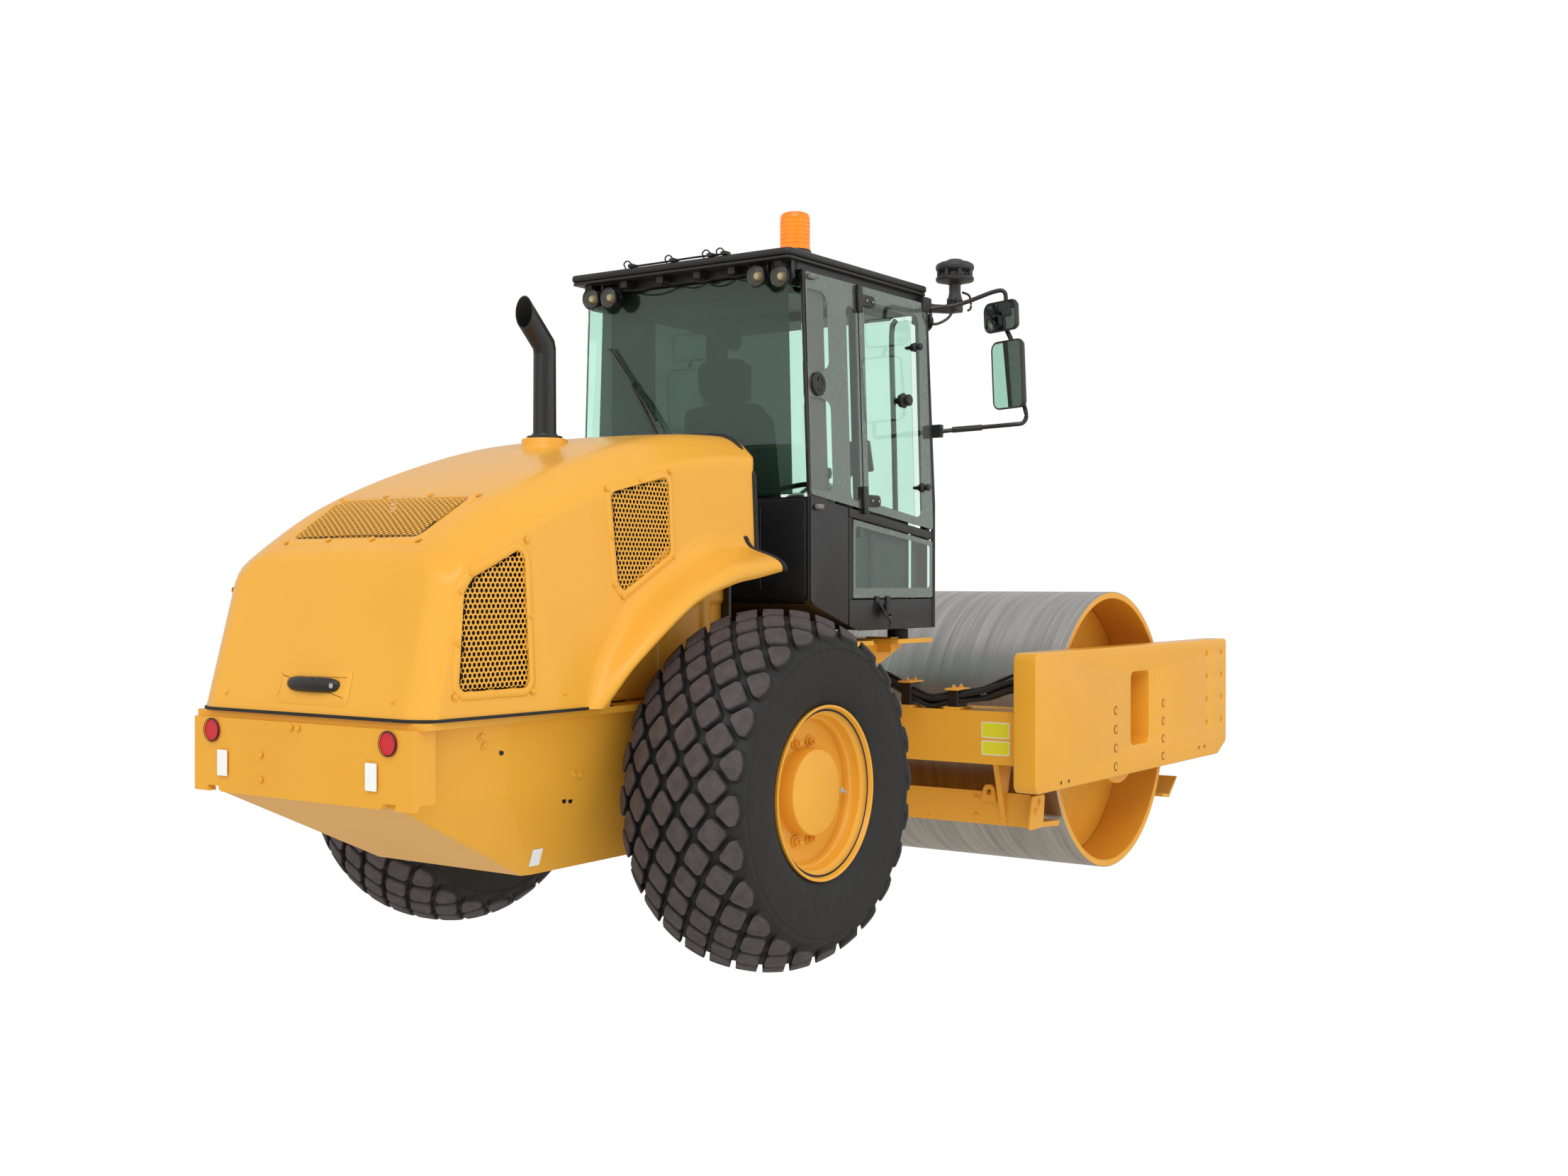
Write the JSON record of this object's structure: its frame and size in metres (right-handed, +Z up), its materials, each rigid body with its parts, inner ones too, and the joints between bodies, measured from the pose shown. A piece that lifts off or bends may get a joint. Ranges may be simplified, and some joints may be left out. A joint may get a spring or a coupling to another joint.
{
  "type": "vibratory soil compactor",
  "caption": "Articulated soil compactor: smooth vibratory steel drum in a plate frame in front, cab over the steering pivot, engine under a tilting hood and two drive wheels behind.",
  "frame": {"origin": "on the ground under the middle of the machine's overall length and width", "axes": "+X forward towards the drum, +Y to the machine's left, +Z up"},
  "size_m": [6.169, 2.466, 3.319],
  "materials": {
    "machine_yellow": "satin",
    "black_paint": "satin",
    "black_plastic": "matte",
    "bare_steel": "worn",
    "tyre_rubber": "matte",
    "rubber": "matte",
    "tinted_glass": "tinted",
    "amber_lens": "glossy",
    "red_lens": "glossy",
    "rod_chrome": "polished",
    "seat_vinyl": "matte",
    "black_mesh": "satin"
  },
  "bodies": {
    "rear_frame": {"rear_body": "machine_yellow", "rear_bumper": "machine_yellow", "reflectors": "red_lens", "hitch_frame": "machine_yellow", "rear_axle": "machine_yellow", "engine_block": "black_paint", "bulkhead": "black_paint", "cab_platform": "machine_yellow", "cab_mounts": "rubber", "cab_shell": "black_paint", "cab_roof": "black_paint", "glass_rear": "tinted_glass", "glass_sides": "tinted_glass", "glass_front": "tinted_glass", "driver_seat": "seat_vinyl", "steering_console": "black_plastic", "work_lights": "black_plastic", "beacon": "amber_lens", "receiver_post": "black_plastic", "mirrors": "black_plastic", "access_steps": "black_paint"},
    "hood": {"hood_shell": "machine_yellow", "hood_grilles": "black_mesh", "hood_handle": "black_plastic", "exhaust_stack": "black_paint"},
    "door": {"door_frame": "black_paint", "door_glass": "tinted_glass"},
    "wheel_left": {"tyre_left": "tyre_rubber", "rim_left": "machine_yellow"},
    "wheel_right": {"tyre_right": "tyre_rubber", "rim_right": "machine_yellow"},
    "hitch": {"hitch_yoke": "machine_yellow"},
    "drum_frame": {"side_plate_left": "machine_yellow", "side_plate_right": "machine_yellow", "rear_crossbeam": "machine_yellow", "front_crossbeam": "machine_yellow", "rear_scraper": "machine_yellow", "front_scraper": "machine_yellow", "drum_carriers": "machine_yellow"},
    "drum": {"drum_shell": "bare_steel", "drum_heads": "machine_yellow"},
    "barrel_left": {"steer_barrel_left": "black_paint"},
    "barrel_right": {"steer_barrel_right": "black_paint"},
    "rod_left": {"steer_rod_left": "rod_chrome"},
    "rod_right": {"steer_rod_right": "rod_chrome"}
  },
  "joints": [
    {"name": "wheel_left_spin", "type": "hinge", "parent": "rear_frame", "child": "wheel_left", "pos_m": [-1.3935, 0.91, 0.739], "axis": [0, 1, 0], "continuous": true},
    {"name": "wheel_right_spin", "type": "hinge", "parent": "rear_frame", "child": "wheel_right", "pos_m": [-1.3935, -0.91, 0.739], "axis": [0, 1, 0], "continuous": true},
    {"name": "hood_tilt", "type": "hinge", "parent": "rear_frame", "child": "hood", "pos_m": [-1.0435, 0, 2.15], "axis": [0, 1, 0], "range_deg": [0, 45]},
    {"name": "door_swing", "type": "hinge", "parent": "rear_frame", "child": "door", "pos_m": [-0.3235, 0.711, 2.25], "axis": [0, 0, 1], "range_deg": [0, 95]},
    {"name": "articulation", "type": "hinge", "parent": "rear_frame", "child": "hitch", "pos_m": [0.1065, 0, 0.8], "axis": [0, 0, 1], "range_deg": [-34, 34]},
    {"name": "oscillation", "type": "hinge", "parent": "hitch", "child": "drum_frame", "pos_m": [0.4765, 0, 0.8], "axis": [1, 0, 0], "range_deg": [-12, 12]},
    {"name": "drum_spin", "type": "hinge", "parent": "drum_frame", "child": "drum", "pos_m": [1.7095, 0, 0.767], "axis": [0, 1, 0], "continuous": true},
    {"name": "barrel_left_turn", "type": "hinge", "parent": "rear_frame", "child": "barrel_left", "pos_m": [-0.4635, 0.345, 0.8], "axis": [0, 0, 1], "range_deg": [-8, 8]},
    {"name": "barrel_right_turn", "type": "hinge", "parent": "rear_frame", "child": "barrel_right", "pos_m": [-0.4635, -0.345, 0.8], "axis": [0, 0, 1], "range_deg": [-8, 8]},
    {"name": "rod_left_slide", "type": "slide", "parent": "barrel_left", "child": "rod_left", "axis": [0.9827, -0.1853, 0], "range_m": [-0.16, 0.16]},
    {"name": "rod_right_slide", "type": "slide", "parent": "barrel_right", "child": "rod_right", "axis": [0.9827, 0.1853, 0], "range_m": [-0.16, 0.16]}
  ],
  "couplings": [
    {"joint": "rod_left_slide", "follows": "articulation", "m_per_rad": -0.21929},
    {"joint": "rod_right_slide", "follows": "articulation", "m_per_rad": 0.21929},
    {"joint": "barrel_left_turn", "follows": "articulation", "ratio": -0.02889},
    {"joint": "barrel_right_turn", "follows": "articulation", "ratio": -0.02889}
  ]
}
